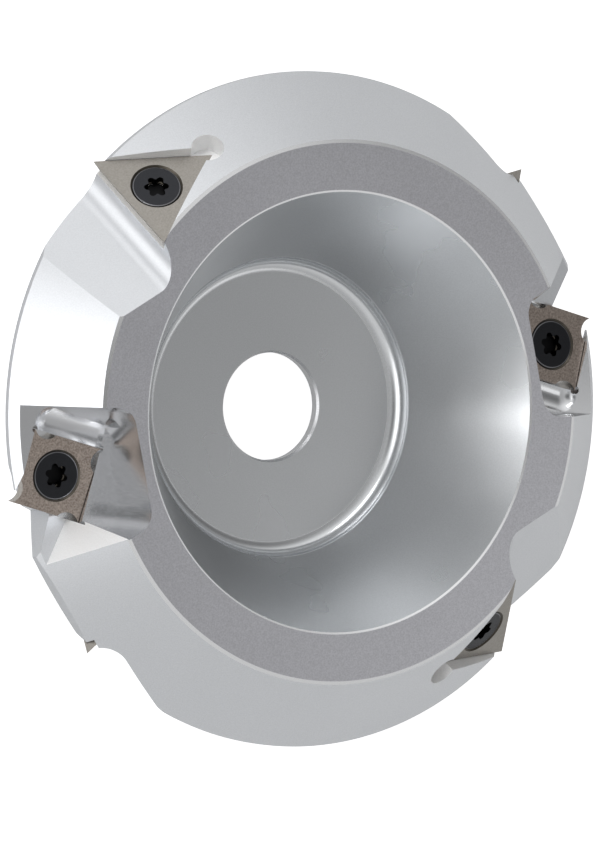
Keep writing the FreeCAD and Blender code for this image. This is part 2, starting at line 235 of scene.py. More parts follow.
# %% [markdown]
# ## Cutters
# On the real head the pockets are milled. Their walls could be built face by
# face, but then every meeting line would have to be worked out. A pocket is the
# sweep of an end mill, so here each cutter is an upright prism, a rod or a ball,
# drawn flat and carried to its seat, and one boolean takes them all away. A
# cutter's faces carry the finish that its cut leaves.

# %% Cutter shapes
CUTTER_STEPS = 64


def prism(corners, low, high):
    """An outline in the XY plane, extruded from one height to another."""
    bm = bmesh.new()
    face = bm.faces.new([bm.verts.new((x, y, low)) for x, y in corners])
    grown = bmesh.ops.extrude_face_region(bm, geom=[face])
    raised = [item for item in grown["geom"] if isinstance(item, bmesh.types.BMVert)]
    bmesh.ops.translate(bm, vec=(0, 0, high - low), verts=raised)
    return bm


def box(x0, x1, y0, y1, z0, z1):
    return prism([(x0, y0), (x1, y0), (x1, y1), (x0, y1)], z0, z1)


def rod(radius, low, high, steps=CUTTER_STEPS):
    return prism(list(arc((0, 0), radius, 0, 360 - 360 / steps, steps - 1)), low, high)


def rounded_corner(corner, before, after, radius, steps=12):
    """Points that round a corner whose arms leave in two directions."""
    one = Vector(before).normalized()
    two = Vector(after).normalized()
    half = one.angle(two) / 2
    centre = Vector(corner) + (one + two).normalized() * radius / math.sin(half)
    start = Vector(corner) + one * radius / math.tan(half) - centre
    end = Vector(corner) + two * radius / math.tan(half) - centre
    sweep = start.angle_signed(end)
    return [tuple(centre + Matrix.Rotation(-sweep * step / steps, 2) @ start)
            for step in range(steps + 1)]


print("a rod's outline has", CUTTER_STEPS, "corners")

# %% The cutters' own collection
cutters = bpy.data.collections.new("cutters")


def add_cutter(name, bm, matrix, finish):
    """Carries a cutter to its seat and keeps it out of the picture."""
    bmesh.ops.transform(bm, matrix=matrix, verts=bm.verts)
    bmesh.ops.recalc_face_normals(bm, faces=bm.faces)
    thing = mesh_object(name, bm, finish)
    bpy.context.scene.collection.objects.unlink(thing)
    cutters.objects.link(thing)
    return thing


print("collection:", cutters.name)

# %% [markdown]
# ## Finishes
# The real finishes are bare and anodised aluminium, ground carbide and black
# oxide on steel. All of them reflect like metals, so they are metallic and keep
# the default index of refraction. Pictures of metal could be wrapped round the
# pieces, but a pattern made from noise needs no file and stays sharp from near.
#
# All patterns read Object coordinates, which are metres here, so a scale of
# 1000 / s gives features about s millimetres across. Colours are written as
# sRGB and turned linear by one function.

# %% Colours and nodes
def colour(code):
    """Linear colour from an sRGB code such as B8BABD."""
    parts = [int(code[i:i + 2], 16) / 255 for i in (0, 2, 4)]
    linear = [p / 12.92 if p <= 0.04045 else ((p + 0.055) / 1.055) ** 2.4 for p in parts]
    return (*linear, 1.0)


def feed(tree, item, inputs):
    """Gives each named socket of a node its value, or a link from another node."""
    for key, value in inputs.items():
        if isinstance(value, bpy.types.NodeSocket):
            tree.links.new(value, item.inputs[key])
        else:
            item.inputs[key].default_value = value


def add(tree, kind, inputs=None, **settings):
    """Adds a shader node with its settings, and feeds its sockets."""
    item = tree.nodes.new("ShaderNode" + kind)
    for key, value in settings.items():
        setattr(item, key, value)
    feed(tree, item, inputs or {})
    return item


def new_metal(name, base, roughness):
    """A metal with one Principled shader, ready for its patterns."""
    material = bpy.data.materials.new(name)
    material.use_nodes = True
    tree = material.node_tree
    shader = tree.nodes["Principled BSDF"]
    feed(tree, shader, {"Base Color": colour(base), "Metallic": 1.0, "Roughness": roughness})
    return material, tree, shader


print("mid grey 808080 is", round(colour("808080")[0], 3), "linear")

# %% [markdown]
# ## Aluminium
# The head is blasted and clear-anodised: the eye sees a soft sheen with a fine
# even grain and no direction. Real blasting leaves a grain of about 0.1 mm,
# which is too fine to show in the render, so it is drawn at 0.22 to 0.3 mm,
# about one pixel. A slow noise of 18 mm lets the sheen wander a little, as
# anodising does.
#
# The pockets and the bore are cut after that, so they are bright. An end mill
# leaves fine strokes along its path, drawn as noise that is stretched one way:
# along Z in the pockets, around the axis in the bore.

# %% Satin aluminium
NOISE_RANGE = {"From Min": 0.3, "From Max": 0.7}
CLOUD_MM, SHEEN_WANDER = 18.0, 0.03


def satin_aluminium(name, base, roughness, grain_mm, depth_mm, speckle=0.0):
    """Blasted and clear-anodised aluminium: soft, with a fine even grain."""
    material, tree, shader = new_metal(name, base, roughness)
    place = add(tree, "TexCoord").outputs["Object"]
    fine = add(tree, "TexNoise", {"Vector": place, "Scale": 1000 / grain_mm, "Detail": 2.0})
    cloud = add(tree, "TexNoise", {"Vector": place, "Scale": 1000 / CLOUD_MM, "Detail": 2.0})
    sheen = add(tree, "MapRange", {"Value": cloud.outputs["Fac"], **NOISE_RANGE,
                                   "To Min": roughness - SHEEN_WANDER,
                                   "To Max": roughness + SHEEN_WANDER})
    rough = add(tree, "Bump", {"Height": fine.outputs["Fac"], "Distance": depth_mm * MM,
                               "Strength": 1.0})
    feed(tree, shader, {"Roughness": sheen.outputs["Result"], "Normal": rough.outputs["Normal"]})
    if speckle:
        shade = [max(0.0, c * (1 - speckle)) for c in colour(base)[:3]]
        light = [min(1.0, c * (1 + speckle)) for c in colour(base)[:3]]
        share = add(tree, "MapRange", {"Value": fine.outputs["Fac"], **NOISE_RANGE})
        tone = add(tree, "MixRGB", {"Fac": share.outputs["Result"],
                                    "Color1": (*shade, 1), "Color2": (*light, 1)})
        feed(tree, shader, {"Base Color": tone.outputs["Color"]})
    return material


print("the sheen wanders over", CLOUD_MM, "mm")

# %% Satin finishes of the head
# The cones, the ring and the bowl were blasted alike, but the ring reads a
# little rougher and the bowl, a fresh turned face, a little smoother.
head_satin = satin_aluminium("aluminium_blasted_cone", "D3D5D8", 0.36, 0.22, 0.006, 0.05)
ring_satin = satin_aluminium("aluminium_blasted_ring", "CECED3", 0.42, 0.30, 0.008, 0.10)
bowl_satin = satin_aluminium("aluminium_blasted_bowl", "CACCCE", 0.29, 0.22, 0.006, 0.05)

# The rounding at the foot of the bowl and the broken edges are turned last, with
# a pointed tool, and flash in thin bright lines.
foot_turned = satin_aluminium("aluminium_turned_foot", "DCDEE0", 0.22, 0.22, 0.002, 0.03)
edge_bright = satin_aluminium("aluminium_turned_edge", "F0F1F2", 0.25, 0.30, 0.001)

# The gullets are milled before the blasting. Their floors are satin. Their front
# walls are rough, almost without a highlight, and coloured near white as painted
# light for the light that falls on them; the triangles' pockets and reliefs get
# the same painted light.
gullet_satin = satin_aluminium("aluminium_blasted_gullet", "D0D2D5", 0.34, 0.25, 0.005, 0.04)
matte_painted_light = satin_aluminium("aluminium_matte_painted_light", "FDFDFD", 0.65, 0.25, 0.008, 0.03)
print("materials, with those of the solids:", len(bpy.data.materials))


# %% Milled aluminium
STROKE_MM, STROKE_DEPTH_MM = 0.3, 0.0003


def milled_aluminium(name, base, roughness, squeeze):
    """Bright milled or turned aluminium: fine strokes, long where squeeze is small."""
    material, tree, shader = new_metal(name, base, roughness)
    place = add(tree, "TexCoord").outputs["Object"]
    squeezed = add(tree, "Mapping", {"Vector": place, "Scale": squeeze}).outputs["Vector"]
    strokes = add(tree, "TexNoise", {"Vector": squeezed, "Scale": 1000 / STROKE_MM,
                                     "Detail": 3.0}).outputs["Fac"]
    sheen = add(tree, "MapRange", {"Value": strokes, **NOISE_RANGE,
                                   "To Min": roughness - 0.03, "To Max": roughness + 0.05})
    marks = add(tree, "Bump", {"Height": strokes, "Distance": STROKE_DEPTH_MM * MM, "Strength": 1.0})
    feed(tree, shader, {"Roughness": sheen.outputs["Result"], "Normal": marks.outputs["Normal"]})
    return material


pocket_bright = milled_aluminium("aluminium_end_milled", "DEDFE1", 0.18, (1.0, 1.0, 0.12))
bore_turned = milled_aluminium("aluminium_bored", "CFD0D2", 0.25, (1.0, 1.0, 8.0))
print("materials with the milled ones:", len(bpy.data.materials))

# %% [markdown]
# ## Carbide and steel
# The inserts are cemented carbide, ground flat. To the eye that is a warm grey
# metal with dark specks, which stand out more on the squares. The grains of
# carbide are a few thousandths of a millimetre, so the specks are drawn at
# 0.35 mm to show. The screws are steel with black oxide: near black, with a
# soft sheen, and bare metal where the rim of the head has rubbed.

# %% Carbide
SPECK_MM, SPECK_DEPTH_MM = 0.35, 0.004


def ground_carbide(name, base, dark, roughness, speckle):
    """Cemented carbide, ground flat: a warm grey with dark specks."""
    material, tree, shader = new_metal(name, base, roughness)
    place = add(tree, "TexCoord").outputs["Object"]
    fine = add(tree, "TexNoise", {"Vector": place, "Scale": 1000 / SPECK_MM,
                                  "Detail": 4.0}).outputs["Fac"]
    share = add(tree, "MapRange", {"Value": fine, **NOISE_RANGE, "To Max": speckle})
    tone = add(tree, "MixRGB", {"Fac": share.outputs["Result"],
                                "Color1": colour(base), "Color2": colour(dark)})
    specks = add(tree, "Bump", {"Height": fine, "Distance": SPECK_DEPTH_MM * MM, "Strength": 1.0})
    feed(tree, shader, {"Base Color": tone.outputs["Color"], "Normal": specks.outputs["Normal"]})
    return material


triangle_carbide = ground_carbide("carbide_ground_triangle", "9E9A94", "85817B", 0.40, 0.6)
square_carbide = ground_carbide("carbide_ground_square", "CABDB3", "8B7E75", 0.36, 0.9)

# Countersink and scallops are pressed before sintering. The countersink is dark,
# for its sintered skin and as painted shade in the gap round the screw's head;
# the scallops are polished.
sink_painted_shade = new_metal("carbide_sintered_sink_painted_shade", "4A4640", 0.35)[0]
scallop_bright = new_metal("carbide_polished_scallop", "B9B4AD", 0.22)[0]
print("materials with carbide:", len(bpy.data.materials))

# %% Steel
OXIDE_GRAIN_MM, OXIDE_DEPTH_MM = 0.25, 0.003


def black_oxide(name, base, roughness, smoothest, roughest):
    """Black oxide on steel: near black with a soft, uneven sheen."""
    material, tree, shader = new_metal(name, base, roughness)
    place = add(tree, "TexCoord").outputs["Object"]
    fine = add(tree, "TexNoise", {"Vector": place, "Scale": 1000 / OXIDE_GRAIN_MM,
                                  "Detail": 2.0}).outputs["Fac"]
    sheen = add(tree, "MapRange", {"Value": fine, **NOISE_RANGE,
                                   "To Min": smoothest, "To Max": roughest})
    skin = add(tree, "Bump", {"Height": fine, "Distance": OXIDE_DEPTH_MM * MM, "Strength": 1.0})
    feed(tree, shader, {"Roughness": sheen.outputs["Result"], "Normal": skin.outputs["Normal"]})
    return material


screw_black = black_oxide("steel_black_oxide", "37383B", 0.38, 0.33, 0.45)
screw_edge = new_metal("steel_rubbed_edge", "77777A", 0.3)[0]
# The socket is coloured near black: painted shade in its deep recess.
socket_painted_shade = new_metal("steel_socket_painted_shade", "1C1C1D", 0.45)[0]
print("materials in all:", len(bpy.data.materials))

# %% [markdown]
# ## Triangle pockets
# On the real head a triangle sits in a three-cornered pocket, with a round
# relief behind its hidden corner, because a mill can't cut a sharp inner
# corner. In front of the cutting edge runs the gullet that carries the chips
# off: a flat floor with a wide round foot. The pocket and the relief are drawn
# on the seat, and the gullet is one long prism along the cutting edge.

# %% Triangle pockets
FAR = 60.0
SEAT_CLEARANCE = 0.1
SCREW_HOLE_RADIUS, SCREW_HOLE_DEPTH = 2.05, 5.5
POCKET_TOP = 14
POCKET_SPILL = 3.0
RELIEF_RADIUS, RELIEF_DEPTH, RELIEF_INSET = 3.0, 0.4, 0.5
GULLET_DEPTH, GULLET_ROUND, GULLET_STEPS = 3.4, 4.6, 24
EDGE_OVERLAP = 0.05
COS_30 = 0.866


def cut_triangle_pocket(name, seat, side):
    """Open past the tip and past the outer corner, 0.1 mm clear of the plate."""
    reach = TRIANGLE_SIDE / math.sqrt(3) + 2 * SEAT_CLEARANCE
    half = TRIANGLE_SIDE / 2 + math.sqrt(3) * SEAT_CLEARANCE
    past_tip = (side * -POCKET_SPILL / 2, reach + POCKET_SPILL * COS_30)
    inner = (side * half, -reach / 2)
    past_outer = (-side * (half + POCKET_SPILL), -reach / 2)
    pocket = prism([past_tip, inner, past_outer], 0, POCKET_TOP)
    # The walls of the pocket and of the relief take the near-white colour of painted light.
    add_cutter(name + "_pocket", pocket, seat, matte_painted_light)
    corner_x = side * (TRIANGLE_SIDE / 2 - RELIEF_INSET)
    corner_y = -TRIANGLE_SIDE / math.sqrt(3) / 2 + COS_30
    relief = rod(RELIEF_RADIUS, -RELIEF_DEPTH, POCKET_TOP)
    add_cutter(name + "_relief", relief, seat @ shift(corner_x, corner_y), matte_painted_light)


def cut_triangle_gullet(name, seat, side):
    wall = TRIANGLE_SIDE / math.sqrt(3) / 2 - EDGE_OVERLAP
    profile = [(wall, FAR / 2)]
    profile += rounded_corner((wall, -GULLET_DEPTH), (0, 1), (1, 0), GULLET_ROUND, GULLET_STEPS)
    profile += [(wall + FAR, -GULLET_DEPTH), (wall + FAR, FAR / 2)]
    edge = seat @ turn_z(90 + side * 60) @ Matrix.Rotation(math.pi / 2, 4, "X")
    add_cutter(name + "_gullet", prism(profile, -FAR, FAR), edge, gullet_satin)


def cut_screw_hole(name, seat):
    hole = rod(SCREW_HOLE_RADIUS, -SCREW_HOLE_DEPTH, 2)
    add_cutter(name + "_screw_hole", hole, seat, bore_turned)


print("a triangle reaches", round(TRIANGLE_SIDE / math.sqrt(3), 2), "mm from its screw to a corner")

# %% [markdown]
# ## Square pockets
# A square sits deep in an upright pocket with two round inner corners. A scoop
# beside it lets the chips curl, and two small flats clear the rim behind the
# tip. In front of the edge a gullet is open to the rim: a front wall coloured
# pale as painted light, a nearly level floor, and further on a steep flank
# across the cone.
#
# The pocket's outline is drawn looking down the axis, since the mill stands
# upright there. The gullet has faces at free angles, so it isn't a prism: a
# large block is cut down by one plane after another, and each plane brings its
# own finish.

# %% Seat of a square
PLATE_ROOM = 5
NIB_RADIUS, NIB_STEPS = 0.7, 24


def cut_square_seat(name, seat):
    """The seat, with a small round nib at each hidden corner."""
    half = SQUARE_SIDE / 2
    near = half + SEAT_CLEARANCE
    add_cutter(name + "_seat", box(-near, near, -near, near, 0, PLATE_ROOM), seat, pocket_bright)
    for number, (x, y) in enumerate(((half, half), (-half, half))):
        nib = rod(NIB_RADIUS, 0, PLATE_ROOM, NIB_STEPS)
        add_cutter("%s_nib_%d" % (name, number), nib, seat @ shift(x, y), pocket_bright)


print("the seat clears the plate by", SEAT_CLEARANCE, "mm")

# %% Pocket of a square
# Its two round inner corners, the foot of its lower wall, and the way its upper
# wall runs out to the rim.
POCKET_UPPER, POCKET_LOWER = Vector((42.2, -12.6)), Vector((43.2, 9.2))
POCKET_FOOT, POCKET_WALL_WAY = Vector((48.9, 10.6)), Vector((1, -0.279))
POCKET_WALL_LENGTH, POCKET_CORNER = 32, 4.0
POCKET_RISE, POCKET_HEIGHT = 2.2, 20
SEAT_RUN = 14


def cut_square_pocket(name, tip, seat):
    half = SQUARE_SIDE / 2
    inner_tip, outer_tip = [turn_z(-tip) @ seat @ Vector((x, -half, 0))
                            for x in (half, -half - SEAT_RUN)]
    wall_end = POCKET_UPPER + POCKET_WALL_LENGTH * POCKET_WALL_WAY
    outline = rounded_corner(POCKET_UPPER, POCKET_LOWER - POCKET_UPPER, POCKET_WALL_WAY,
                             POCKET_CORNER)
    outline += [tuple(wall_end), tuple(outer_tip.xy), tuple(inner_tip.xy), tuple(POCKET_FOOT)]
    outline += rounded_corner(POCKET_LOWER, POCKET_FOOT - POCKET_LOWER,
                              POCKET_UPPER - POCKET_LOWER, POCKET_CORNER)
    add_cutter(name + "_pocket", prism(outline, 0, POCKET_HEIGHT),
               turn_z(tip) @ shift(z=MID + POCKET_RISE), pocket_bright)


print("pocket floor at", round(MID + POCKET_RISE, 1), "mm over the back face")

# %% Scoop
SCOOP_RADIUS, SCOOP_START, SCOOP_OFFSET, SCOOP_RISE = 3.9, 4.4, 2.0, 4.4


def cut_scoop(name, seat):
    """A rod along the back edge of the plate that ends in a ball."""
    half = SQUARE_SIDE / 2
    place = seat @ shift(-SCOOP_START, half + SCOOP_OFFSET, SCOOP_RISE)
    place = place @ Matrix.Rotation(math.pi / 2, 4, "Y")
    add_cutter(name + "_scoop", rod(SCOOP_RADIUS, 0, half + SCOOP_START), place, pocket_bright)
    ball = bmesh.new()
    bmesh.ops.create_uvsphere(ball, u_segments=64, v_segments=32, radius=SCOOP_RADIUS)
    add_cutter(name + "_scoop_end", ball, place, pocket_bright)


print("scoop:", 2 * SCOOP_RADIUS, "mm wide")

# %% Flats on the rim
TIP_FLAT_TURN, TIP_FLAT_REACH, TIP_FLAT_START, TIP_FLAT_LENGTH = 15.9, 58.0, -26, 16
RIM_FLAT_TURN, RIM_FLAT_REACH, RIM_FLAT_START, RIM_FLAT_LENGTH = 19.3, 61.6, -10.4, 20.9
FLAT_DEPTH = 12


def cut_flats(name, tip):
    tip_flat = box(0, FLAT_DEPTH, 0, TIP_FLAT_LENGTH, 0, MID + 1)
    add_cutter(name + "_tip_flat", tip_flat,
               turn_z(tip + TIP_FLAT_TURN) @ shift(TIP_FLAT_REACH, TIP_FLAT_START, -1), gullet_satin)
    rim_flat = box(0, FLAT_DEPTH, 0, RIM_FLAT_LENGTH, 0, HEIGHT + 2)
    add_cutter(name + "_rim_flat", rim_flat,
               turn_z(tip + RIM_FLAT_TURN) @ shift(RIM_FLAT_REACH, RIM_FLAT_START, -1), gullet_satin)


print("flats are", TIP_FLAT_LENGTH, "and", RIM_FLAT_LENGTH, "mm long")

# %% A cutter from several planes
def planes_box(name, planes):
    """What lies in front of several planes, each a point, a normal and a finish."""
    bm = box(-FAR, FAR, -FAR, FAR, -FAR, FAR)
    bmesh.ops.translate(bm, vec=planes[0][0], verts=bm.verts)
    for number, (point, normal, finish) in enumerate(planes):
        everything = bm.verts[:] + bm.edges[:] + bm.faces[:]
        cut = bmesh.ops.bisect_plane(bm, geom=everything, plane_co=point, plane_no=normal,
                                     clear_inner=True)
        rim = [item for item in cut["geom_cut"] if isinstance(item, bmesh.types.BMEdge)]
        for face in bmesh.ops.contextual_create(bm, geom=rim)["faces"]:
            face.material_index = number
    cutter = add_cutter(name, bm, Matrix(), planes[0][2])
    for point, normal, finish in planes[1:]:
        cutter.data.materials.append(finish)


print("a block for the planes is", 2 * FAR, "mm wide")

# %% Gullet and flank of a square
# Each plane is told by its turn from the tip, a point on it and the way it faces.
GULLET_RUN = 10
FRONT_TURN, FRONT_FACING = 12, Vector((0.39, -0.85, 0.36))
FLOOR_TURN, FLOOR_RADIUS, FLOOR_DROP = 7.43, 54.2, 0.37
FLOOR_FACING = Vector((-0.252, -0.065, 0.966))
FLANK_TURN, FLANK_RADIUS = -35.45, 43.58


def cut_square_gullet(name, tip, seat):
    half = SQUARE_SIDE / 2
    heading = math.radians(tip + SQUARE_YAW)
    along = Vector((math.cos(heading), math.sin(heading), 0))
    edge = seat @ Vector((0, -half + EDGE_OVERLAP, 0))
    upright = (edge, Vector((along.y, -along.x, 0)), pocket_bright)
    far_end = (edge + (half + GULLET_RUN) * along, -along, gullet_satin)
    front_turn = turn_z(tip + FRONT_TURN)
    # The front wall takes the near-white colour of painted light.
    front = (front_turn @ Vector((RING_RADIUS, 0, HEIGHT)), front_turn.to_3x3() @ FRONT_FACING,
             matte_painted_light)
    floor = (turn_z(tip + FLOOR_TURN) @ Vector((FLOOR_RADIUS, 0, MID - FLOOR_DROP)),
             turn_z(tip).to_3x3() @ FLOOR_FACING, gullet_satin)
    flank_turn = turn_z(tip + FLANK_TURN)
    flank = (flank_turn @ Vector((FLANK_RADIUS, 0, MID)), flank_turn.to_3x3() @ Vector((1, 0, 0)),
             head_satin)
    planes_box(name + "_gullet", [upright, far_end, front, floor])
    planes_box(name + "_flank", [upright, flank])


print("the gullet runs", GULLET_RUN, "mm past the plate")

# %% All the cutters
def cut_square(name, tip):
    seat = square_seat(tip)
    cut_square_seat(name, seat)
    cut_square_pocket(name, tip, seat)
    cut_scoop(name, seat)
    cut_flats(name, tip)
    cut_screw_hole(name, seat)
    cut_square_gullet(name, tip, seat)


def cut_triangle(name, tip, side):
    seat = triangle_seat(tip, side)
    cut_triangle_pocket(name, seat, side)
    cut_triangle_gullet(name, seat, side)
    cut_screw_hole(name, seat)


for number, tip in enumerate(SQUARE_TIPS, start=1):
    cut_square("square_%d" % number, tip)
for number, tip in enumerate(FRONT_TIPS, start=1):
    cut_triangle("front_%d" % number, tip, 1)
for number, tip in enumerate(BACK_TIPS, start=1):
    cut_triangle("back_%d" % number, tip, -1)

# %% [markdown]
# ## Cutting the head
# The blank first gets its finishes, each turned face by where it lies, because
# a face keeps its material through the cut. One exact boolean with the whole
# collection is quicker and cleaner than one for each cutter, and it takes the
# cutters' finishes over to the new faces.

# %% Finishes of the turned faces
HEAD_FINISHES = [head_satin, ring_satin, bowl_satin, foot_turned, edge_bright,
                 gullet_satin, matte_painted_light, pocket_bright, bore_turned]


def zone(centre, normal):
    """The finish of a turned face, told by where it lies, in millimetres."""
    radius = math.hypot(centre.x, centre.y)
    by_the_foot = FOOT_RADIUS - FLOOR_FILLET < radius < FOOT_RADIUS + FOOT_ROUND
    if abs(normal.z) > 0.99 and centre.z > HEIGHT - 0.05:
        return ring_satin
    if centre.z > HEIGHT - 0.5 and radius < RING_RADIUS + 0.5:
        return edge_bright
    if radius < BORE_RADIUS + 0.6 and centre.z < WEB + 0.1:
        return bore_turned
    if by_the_foot and WEB < centre.z < FOOT_HEIGHT + 1:
        return foot_turned
    if radius < MOUTH_RADIUS + 0.1 and centre.z > WEB - 0.1:
        return bowl_satin
    return head_satin


for finish in HEAD_FINISHES:
    head.data.materials.append(finish)
for face in head.data.polygons:
    face.material_index = HEAD_FINISHES.index(zone(face.center / MM, face.normal))
print("ring faces:", sum(face.material_index == 1 for face in head.data.polygons))

# %% One boolean for all pockets
def keep_result(thing):
    """Makes what the modifiers show the mesh itself."""
    bpy.context.view_layer.update()
    evaluated = thing.evaluated_get(bpy.context.evaluated_depsgraph_get())
    mesh = bpy.data.meshes.new_from_object(evaluated)
    thing.modifiers.clear()
    thing.data = mesh


modifier = head.modifiers.new("pockets", "BOOLEAN")
modifier.operation = "DIFFERENCE"
modifier.operand_type = "COLLECTION"
modifier.collection = cutters
modifier.solver = "EXACT"
modifier.use_self = True
modifier.material_mode = "TRANSFER"
keep_result(head)
for cutter in list(cutters.objects):
    bpy.data.objects.remove(cutter)
bpy.data.collections.remove(cutters)
print("head:", len(head.data.polygons), "faces, materials", [m.name for m in head.data.materials])


# %% Shading and soft edges
HEAD_BREAK, PIECE_BREAK, FINISH_BREAK = 24, 30, 5


def smooth_by_angle(thing, degrees):
    """Smooth faces, with sharp edges past the angle or where two finishes meet."""
    bm = bmesh.new()
    bm.from_mesh(thing.data)
    bmesh.ops.remove_doubles(bm, verts=bm.verts, dist=0.00001)
    bmesh.ops.dissolve_degenerate(bm, edges=bm.edges, dist=0.000005)
    for face in bm.faces:
        face.smooth = True
    for edge in bm.edges:
        faces = edge.link_faces
        angle = edge.calc_face_angle(math.pi) if len(faces) == 2 else math.pi
        mixed = len(faces) == 2 and faces[0].material_index != faces[1].material_index
        breaks = mixed and angle > math.radians(FINISH_BREAK)
        edge.smooth = angle < math.radians(degrees) and not breaks
    bm.to_mesh(thing.data)
    bm.free()


smooth_by_angle(head, HEAD_BREAK)
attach(head, "root")
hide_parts("cutter_body")
print("head done:", len(head.data.vertices), "points")

# %% [markdown]
# ## Inserts
# A real insert is pressed and ground: a flat plate with a countersink, and on
# the squares a scallop before each corner that makes the corner cut clean. The
# triangles' sides lean in toward the seat, so that only the edge meets the
# wood. A plate could be modelled with all its holes at once. Here it is a prism
# first, and the holes are cut out of it, so that each cut brings its finish.
# Plates stay inside the solids that they stand for.

# %% Cutting a piece with tools
def boolean_cut(thing, tools):
    """Cuts closed meshes out of a piece, keeping the finish of each tool."""
    for tool in tools:
        modifier = thing.modifiers.new("cut", "BOOLEAN")
        modifier.operation = "DIFFERENCE"
        modifier.object = tool
        modifier.solver = "EXACT"
        modifier.material_mode = "TRANSFER"
    keep_result(thing)
    for tool in tools:
        bpy.data.objects.remove(tool)


# %% Countersink
HEAD_RADIUS, HEAD_TOP = 4.5, 1.85
SINK_GAP, SINK_START, SINK_LIP, SINK_LIP_WIDTH = 0.35, 0.35, 2.02, 0.15


def lathe(points, steps=CUTTER_STEPS):
    """A closed solid of revolution whose outline starts and ends on the axis."""
    bm = bmesh.new()
    verts = [bm.verts.new((x, 0, z)) for x, z in points]
    edges = [bm.edges.new(pair) for pair in zip(verts, verts[1:])]
    bmesh.ops.spin(bm, geom=verts + edges, axis=(0, 0, 1), cent=(0, 0, 0),
                   angle=2 * math.pi, steps=steps, use_merge=True)
    bmesh.ops.remove_doubles(bm, verts=bm.verts, dist=0.0001)
    bmesh.ops.recalc_face_normals(bm, faces=bm.faces)
    return bm


def countersink_tool():
    """The hole for the screw, a little wider than the screw's head."""
    wide = HEAD_RADIUS + SINK_GAP
    points = [(0, -1), (SCREW_HOLE_RADIUS, -1), (SCREW_HOLE_RADIUS, SINK_START),
              (wide - SINK_LIP_WIDTH, HEAD_TOP), (wide, SINK_LIP), (wide, 3), (0, 3)]
    # The countersink's faces take its dark colour, painted shade round the screw's head.
    return mesh_object("countersink", lathe(points), sink_painted_shade)


print("gap around a screw's head:", SINK_GAP, "mm")


# %% Plates
TRIANGLE_LEAN = 1.45
SCALLOP_RADIUS, SCALLOP_DEPTH, SCALLOP_OFFSET = 2.6, 1.2, 4.7


def plate(corners, finish, thickness, lean):
    """A flat plate whose lower corners are drawn in, so that its sides lean."""
    bm = prism(corners, 0, thickness)
    low = [vert for vert in bm.verts if vert.co.z < thickness / 2]
    shrink = 1 - lean / low[0].co.xy.length
    bmesh.ops.scale(bm, vec=(shrink, shrink, 1), verts=low)
    bmesh.ops.recalc_face_normals(bm, faces=bm.faces)
    return mesh_object("plate", bm, finish)


def triangle_plate():
    reach = TRIANGLE_SIDE / math.sqrt(3)
    half = TRIANGLE_SIDE / 2
    corners = [(0, reach), (-half, -reach / 2), (half, -reach / 2)]
    thing = plate(corners, triangle_carbide, TRIANGLE_THICKNESS, TRIANGLE_LEAN)
    boolean_cut(thing, [countersink_tool()])
    return thing


def square_plate():
    half = SQUARE_SIDE / 2
    corners = [(-half, -half), (half, -half), (half, half), (-half, half)]
    thing = plate(corners, square_carbide, SQUARE_THICKNESS, 0.0)
    out = half - SCALLOP_DEPTH + SCALLOP_RADIUS
    off = SCALLOP_OFFSET
    tools = [countersink_tool()]
    for x, y in ((off, -out), (out, off), (-off, out), (-out, -off)):
        bm = rod(SCALLOP_RADIUS, -1, 3)
        bmesh.ops.translate(bm, vec=(x, y, 0), verts=bm.verts)
        tools.append(mesh_object("scallop", bm, scallop_bright))
    boolean_cut(thing, tools)
    return thing


square_source = square_plate()
triangle_source = triangle_plate()
print("square:", len(square_source.data.polygons), "faces, triangle:",
      len(triangle_source.data.polygons), "faces")

# %% [markdown]
# ## Screws
# Each insert is held by a countersunk screw with a six-lobe socket. The head is
# a little smaller than its countersink, so a dark ring shows around it, deepened
# by the countersink's painted shade, and its rim is rubbed bright. The screw is
# spun from one outline, and the socket is a prism cut out of its top, coloured
# near black as painted shade. The lobes come from a radius that swings six times
# on the way round, which is smoother than six circles joined.

# %% Six-lobe socket
LOBE_STEPS, LOBES = 96, 6
SOCKET_RADIUS, LOBE_SWING, LOBE_ROUND, SOCKET_DEPTH = 2.0, 0.34, 0.05, 1.7


def lobed_socket():
    """The six-lobe outline: round lobes joined by hollow flanks."""
    points = []
    for step in range(LOBE_STEPS):
        angle = 2 * math.pi * step / LOBE_STEPS
        radius = SOCKET_RADIUS + LOBE_SWING * math.cos(LOBES * angle)
        radius -= LOBE_ROUND * math.cos(2 * LOBES * angle)
        points.append((radius * math.cos(angle), radius * math.sin(angle)))
    return points


print("the socket is", 2 * (SOCKET_RADIUS + LOBE_SWING), "mm across its lobes")

# %% Screw
SHANK_RADIUS, SHANK_START, SCREW_LENGTH, SCREW_POINT = 1.9, 0.25, 6.5, (0.4, 0.1)
RIM_INNER, RIM_OUTER, RIM_LOW = (0.28, 0), (0.1, 0.06), (0.08, 0.14)


def screw_piece():
    """A countersunk screw: flat top, rubbed rim, lobed socket and a shank."""
    top = HEAD_TOP
    end = top - SCREW_LENGTH
    point_in, point_up = SCREW_POINT
    points = [(0, top)]
    points += [(HEAD_RADIUS - inward, top - down) for inward, down in (RIM_INNER, RIM_OUTER, RIM_LOW)]
    points += [(SHANK_RADIUS, SHANK_START), (SHANK_RADIUS, end + point_up)]
    points += [(SHANK_RADIUS - point_in, end), (0, end)]
    thing = mesh_object("screw", lathe(points), screw_black)
    thing.data.materials.append(screw_edge)
    for face in thing.data.polygons:
        depth = top - face.center.z / MM
        if 0.005 < depth < 0.13:
            face.material_index = 1
    socket = prism(lobed_socket(), top - SOCKET_DEPTH, top + 1)
    # The socket's walls take the near black of painted shade.
    boolean_cut(thing, [mesh_object("socket", socket, socket_painted_shade)])
    return thing


screw_source = screw_piece()
print("screw:", len(screw_source.data.polygons), "faces")

